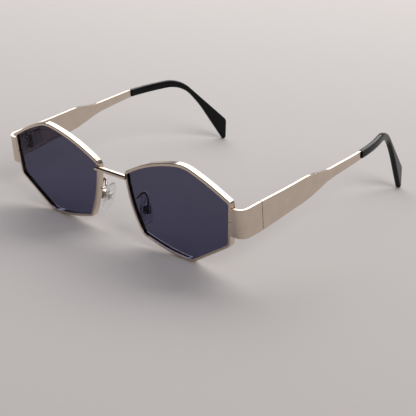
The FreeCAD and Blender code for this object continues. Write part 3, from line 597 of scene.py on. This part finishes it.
tip_finish = black_acetate("tip_gloss_black")
for side in ("right", "left"):
    rough_tip = bpy.data.objects.new("rough_tip", merged_copy("temple_tip_" + side))
    scene.collection.objects.link(rough_tip)
    remesh = rough_tip.modifiers.new("even", "REMESH")
    remesh.mode = "VOXEL"
    remesh.voxel_size = TIP_VOXEL
    tumbling = rough_tip.modifiers.new("tumbled", "SMOOTH")
    tumbling.factor = 0.5
    tumbling.iterations = TIP_TUMBLING
    evaluated_tip = rough_tip.evaluated_get(bpy.context.evaluated_depsgraph_get())
    tip_mesh = bpy.data.meshes.new_from_object(evaluated_tip)
    bpy.data.objects.remove(rough_tip)
    tip_mesh.materials.clear()
    tip_mesh.materials.append(tip_finish)
    tip_mesh.shade_smooth()
    ear_tip = bpy.data.objects.new("ear_tip_" + side, tip_mesh)
    scene.collection.objects.link(ear_tip)
    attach(ear_tip, "temple_" + side)
    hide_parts("temple_tip_" + side)


# Pad arms
# Round wire soldered to the inner side of each rim, led back, up and over in an S and down to
# the pad box. It is plated like the frame.

FRONT_DATUM = -0.06396
ARM_SIZES = {"Wire radius": 0.0005, "Bend radius": 0.0013}
RIGHT_ARM_PATH = (
    (0.00935, 0.0010, 0.0189),
    (0.0096, 0.0037, 0.0190),
    (0.0123, 0.0054, 0.0224),
    (0.0144, 0.0053, 0.0194),
    (0.01495, 0.0046, 0.0136),
)
LEFT_ARM_PATH = (
    (-0.00935, 0.0010, 0.0189),
    (-0.0096, 0.0037, 0.0190),
    (-0.0116, 0.0053, 0.0232),
    (-0.0140, 0.0052, 0.0192),
    (-0.01495, 0.0046, 0.0136),
)


def wire_tree():
    """Round wire along the edges of a mesh, its corners bent to one radius."""
    tree = geometry_tree("bent_wire", ARM_SIZES)
    new = tree.nodes.new
    link = tree.links.new
    start = new("NodeGroupInput")
    end = new("NodeGroupOutput")
    path = new("GeometryNodeMeshToCurve")
    link(start.outputs["Geometry"], path.inputs["Mesh"])
    bend = new("GeometryNodeFilletCurve")
    bend.mode = "POLY"
    bend.inputs["Count"].default_value = 12
    link(path.outputs["Curve"], bend.inputs["Curve"])
    link(start.outputs["Bend radius"], bend.inputs["Radius"])
    circle = new("GeometryNodeCurvePrimitiveCircle")
    circle.inputs["Resolution"].default_value = 20
    link(start.outputs["Wire radius"], circle.inputs["Radius"])
    sweep = new("GeometryNodeCurveToMesh")
    sweep.inputs["Fill Caps"].default_value = True
    link(bend.outputs["Curve"], sweep.inputs["Curve"])
    link(circle.outputs["Curve"], sweep.inputs["Profile Curve"])
    smooth = new("GeometryNodeSetShadeSmooth")
    link(sweep.outputs["Mesh"], smooth.inputs["Geometry"])
    real = new("GeometryNodeRealizeInstances")
    link(smooth.outputs["Geometry"], real.inputs["Geometry"])
    coat = new("GeometryNodeSetMaterial")
    link(real.outputs["Geometry"], coat.inputs["Geometry"])
    link(start.outputs["Metal"], coat.inputs["Material"])
    link(coat.outputs["Geometry"], end.inputs["Geometry"])
    return tree


arm_points = [
    (across, depth + FRONT_DATUM, height)
    for across, depth, height in RIGHT_ARM_PATH + LEFT_ARM_PATH
]
right_end = len(RIGHT_ARM_PATH) - 1
arm_edges = [(index, index + 1) for index in range(len(arm_points) - 1) if index != right_end]
arm_lines = bpy.data.meshes.new("arm_lines")
arm_lines.from_pydata(arm_points, arm_edges, [])
grown(
    "pad_arms",
    arm_lines,
    wire_tree(),
    {**ARM_SIZES, "Metal": fitting_metal},
    "front",
    ["pad_arm_right", "pad_arm_left"],
)


# Pad boxes
# Small folded metal boxes soldered to the arms' ends. The pad's lug hangs in the box on a tiny
# screw, so that the pad can rock.

dress(["pad_box_right", "pad_box_left"], fitting_metal)
dress(["pad_screw_right", "pad_screw_left"], screw_metal)


# Nose pads
# Clear silicone drops moulded over a metal core plate. They are crowned towards the nose, thin
# at the rim and slightly cloudy.

SILICONE = (0.88, 0.88, 0.89, 1.0)
SILICONE_CLEAR = (0.95, 0.95, 0.96, 1.0)
SILICONE_IOR = 1.25
SILICONE_CLARITY = 0.78


def clear_silicone(name):
    """Soft clear plastic with a slight cloud in it and a skin of uneven gloss."""
    material = bpy.data.materials.new(name)
    material.use_nodes = True
    tree = material.node_tree
    link = tree.links.new
    shader = tree.nodes["Principled BSDF"]
    shader.inputs["Transmission Weight"].default_value = SILICONE_CLARITY
    shader.inputs["IOR"].default_value = SILICONE_IOR
    place = add_node(tree, "ShaderNodeTexCoord")
    cloud = add_node(tree, "ShaderNodeTexNoise", Scale=420.0, Detail=3.0, Roughness=0.5)
    link(place.outputs["Object"], cloud.inputs["Vector"])
    tones = colour_ramp(tree, ((0.3, SILICONE), (0.7, SILICONE_CLEAR)))
    link(cloud.outputs["Fac"], tones.inputs["Fac"])
    link(tones.outputs["Color"], shader.inputs["Base Color"])
    shine = colour_ramp(tree, ((0.3, grey(0.08)), (0.7, grey(0.16))))
    link(cloud.outputs["Fac"], shine.inputs["Fac"])
    link(shine.outputs["Color"], shader.inputs["Roughness"])
    return material


PAD_CENTRE = (0.0115, -0.05696, 0.0134)
PAD_ALONG = Vector((-0.248, 0.147, 0.957)).normalized()
PAD_TURN = math.radians(30.0)
PAD_FACE = Matrix.Rotation(PAD_TURN, 3, PAD_ALONG) @ Vector((-0.80, 0.57, -0.295)).normalized()
PAD_LENGTH = 0.0129
PAD_WIDTH = 0.0069
PAD_THICKNESS = 0.0023
PAD_FULLNESS = 0.7
PAD_EDGE_FULLNESS = 0.9
PAD_CROWN_FULLNESS = 0.75
PAD_TAPER = 0.12
PAD_WIDEST = 1.08
PAD_RINGS = 24
PAD_SPOKES = 36
CORE_HALF_LENGTH = 0.0015

pad_across = PAD_ALONG.cross(PAD_FACE).normalized()
pad_finish = clear_silicone("pad_clear_silicone")


def rounded_power(value, power):
    """Sign-keeping power, for fuller curves than a plain ellipse's."""
    return math.copysign(abs(value) ** power, value)


def pad_point(ring, spoke):
    """Point on the right pad's skin: rings run from its lower to its upper end."""
    climb = math.pi * ring / PAD_RINGS
    turn = 2 * math.pi * spoke / PAD_SPOKES
    spread = math.sin(climb) ** PAD_FULLNESS
    lengthwise = -math.cos(climb)
    drop = 1.0 - PAD_TAPER * lengthwise
    width = 0.5 * PAD_WIDTH * spread * drop / PAD_WIDEST
    height = 0.5 * PAD_THICKNESS * spread
    return (
        Vector(PAD_CENTRE)
        + PAD_ALONG * (0.5 * PAD_LENGTH * lengthwise)
        + pad_across * (width * rounded_power(math.cos(turn), PAD_EDGE_FULLNESS))
        + PAD_FACE * (height * rounded_power(math.sin(turn), PAD_CROWN_FULLNESS))
    )


for side in ("right", "left"):
    core_along = PAD_ALONG if side == "right" else Vector(mirrored(PAD_ALONG))
    core_centre = Vector(PAD_CENTRE if side == "right" else mirrored(PAD_CENTRE))
    core_mesh = merged_copy("pad_core_" + side)
    core_mesh.materials.clear()
    core_mesh.materials.append(fitting_metal)
    for vertex in core_mesh.vertices:
        run = (vertex.co - core_centre).dot(core_along)
        kept = max(-CORE_HALF_LENGTH, min(CORE_HALF_LENGTH, run))
        vertex.co += core_along * (kept - run)
    pad_core = bpy.data.objects.new("pad_insert_" + side, core_mesh)
    scene.collection.objects.link(pad_core)
    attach(pad_core, "nose_pad_" + side)
    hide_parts("pad_core_" + side)

for side in ("right", "left"):
    work = bmesh.new()
    rings = []
    for ring in range(1, PAD_RINGS):
        corners = [pad_point(ring, spoke) for spoke in range(PAD_SPOKES)]
        if side == "left":
            corners = [Vector(mirrored(corner)) for corner in corners]
        rings.append([work.verts.new(corner) for corner in corners])
    poles = [pad_point(0, 0), pad_point(PAD_RINGS, 0)]
    if side == "left":
        poles = [Vector(mirrored(pole)) for pole in poles]
    bottom, top = [work.verts.new(pole) for pole in poles]
    for lower, upper in zip(rings, rings[1:]):
        for spoke in range(PAD_SPOKES):
            after = (spoke + 1) % PAD_SPOKES
            work.faces.new((lower[spoke], lower[after], upper[after], upper[spoke]))
    for spoke in range(PAD_SPOKES):
        after = (spoke + 1) % PAD_SPOKES
        work.faces.new((bottom, rings[0][after], rings[0][spoke]))
        work.faces.new((top, rings[-1][spoke], rings[-1][after]))
    bmesh.ops.recalc_face_normals(work, faces=work.faces)
    pad_mesh = bpy.data.meshes.new("silicone_pad_" + side)
    work.to_mesh(pad_mesh)
    work.free()
    pad_mesh.materials.append(pad_finish)
    pad_mesh.shade_smooth()
    silicone_pad = bpy.data.objects.new("silicone_pad_" + side, pad_mesh)
    scene.collection.objects.link(silicone_pad)
    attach(silicone_pad, "nose_pad_" + side)
    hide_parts("nose_pad_" + side)


# Table
# The sunglasses stand on a plain pale table top, warm grey, which reaches past the view on all
# sides and keeps their soft shadow.

TABLE_REACH = 3.0
TABLE_TONE = (0.555, 0.525, 0.52, 1.0)

table_mesh = bpy.data.meshes.new("table_top")
table_mesh.from_pydata(
    [
        (-TABLE_REACH, -TABLE_REACH, 0.0),
        (TABLE_REACH, -TABLE_REACH, 0.0),
        (TABLE_REACH, TABLE_REACH, 0.0),
        (-TABLE_REACH, TABLE_REACH, 0.0),
    ],
    [],
    [(0, 1, 2, 3)],
)
table_top = bpy.data.objects.new("table_top", table_mesh)
scene.collection.objects.link(table_top)
table_paint = bpy.data.materials.new("table_pale_grey")
table_paint.use_nodes = True
table_shader = table_paint.node_tree.nodes["Principled BSDF"]
table_shader.inputs["Base Color"].default_value = TABLE_TONE
table_shader.inputs["Roughness"].default_value = 0.8
table_shader.inputs["Specular IOR Level"].default_value = 0.15
table_mesh.materials.append(table_paint)


# Lamps
# One wide soft lamp stands behind the glasses and shines over them, so that every upward edge
# of the metal is white. An even soft light from the right fills the faces, and the room is dim
# in front, where the chamfers mirror it dark.

def hung(light, place, aim):
    """Puts a lamp at a place, shining towards aim."""
    holder = bpy.data.objects.new(light.name, light)
    holder.location = place
    holder.rotation_euler = (place - aim).to_track_quat("Z", "Y").to_euler()
    scene.collection.objects.link(holder)


BACK_LAMP_PLACE = Vector((-0.3, 0.81, 0.86))
BACK_LAMP_AIM = Vector((0.0, -0.2, 0.0))
BACK_LAMP_WIDTH = 2.4
BACK_LAMP_DEPTH = 0.885
BACK_LAMP_POWER = 20.0
SIDE_LIGHT_PLACE = Vector((1.3, -0.3, 0.9))
SIDE_LIGHT_AIM = Vector((0.0, 0.0, 0.0))
SIDE_LIGHT_SOFTNESS = math.radians(35.0)
SIDE_LIGHT_STRENGTH = 1.75

back_lamp = bpy.data.lights.new("back_lamp", "AREA")
back_lamp.shape = "RECTANGLE"
back_lamp.size = BACK_LAMP_WIDTH
back_lamp.size_y = BACK_LAMP_DEPTH
back_lamp.energy = BACK_LAMP_POWER
back_lamp.color = (1.0, 0.99, 0.975)
hung(back_lamp, BACK_LAMP_PLACE, BACK_LAMP_AIM)

side_light = bpy.data.lights.new("side_light", "SUN")
side_light.angle = SIDE_LIGHT_SOFTNESS
side_light.energy = SIDE_LIGHT_STRENGTH
side_light.color = (1.0, 0.99, 0.98)
hung(side_light, SIDE_LIGHT_PLACE, SIDE_LIGHT_AIM)

ROOM_FRONT = (0.035, 0.034, 0.036, 1.0)
ROOM_BACK = (0.16, 0.157, 0.158, 1.0)
ROOM_SKIRT = (0.6, 0.57, 0.56, 1.0)

room = bpy.data.worlds.new("studio_room")
scene.world = room
room.use_nodes = True
room_tree = room.node_tree
link_room = room_tree.links.new
room_place = add_node(room_tree, "ShaderNodeTexCoord")
room_parts = add_node(room_tree, "ShaderNodeSeparateXYZ")
link_room(room_place.outputs["Generated"], room_parts.inputs["Vector"])
room_depth = add_node(room_tree, "ShaderNodeMapRange")
room_depth.inputs["From Min"].default_value = -1.0
link_room(room_parts.outputs["Y"], room_depth.inputs["Value"])
room_tones = colour_ramp(room_tree, ((0.3, ROOM_FRONT), (0.8, ROOM_BACK)))
link_room(room_depth.outputs["Result"], room_tones.inputs["Fac"])
room_height = colour_ramp(room_tree, ((0.1, grey(1.0)), (0.3, grey(0.0))))
link_room(room_parts.outputs["Z"], room_height.inputs["Fac"])
room_walls = add_node(room_tree, "ShaderNodeMix", data_type="RGBA", B=ROOM_SKIRT)
link_room(room_height.outputs["Color"], room_walls.inputs["Factor"])
link_room(room_tones.outputs["Color"], room_walls.inputs["A"])
link_room(room_walls.outputs["Result"], room_tree.nodes["Background"].inputs["Color"])


# Camera
# A long lens stands half a metre off, in front of the glasses and to the side of the right rim,
# and looks a little down on them.

CAMERA_AIM = Vector((0.00864, -0.01596, 0.00107))
CAMERA_DISTANCE = 0.5315
CAMERA_TURN = math.radians(42.40)
CAMERA_RISE = math.radians(21.56)
CAMERA_LENS = 102.43
CAMERA_SENSOR = 36.0

camera = bpy.data.objects.new("camera", bpy.data.cameras.new("camera"))
away = Vector(
    (
        math.sin(CAMERA_TURN) * math.cos(CAMERA_RISE),
        -math.cos(CAMERA_TURN) * math.cos(CAMERA_RISE),
        math.sin(CAMERA_RISE),
    )
)
camera.location = CAMERA_AIM + away * CAMERA_DISTANCE
camera.rotation_euler = away.to_track_quat("Z", "Y").to_euler()
camera.data.sensor_width = CAMERA_SENSOR
camera.data.lens = CAMERA_LENS
camera.data.clip_start = 0.01
scene.collection.objects.link(camera)
scene.camera = camera
scene.view_settings.view_transform = "Standard"
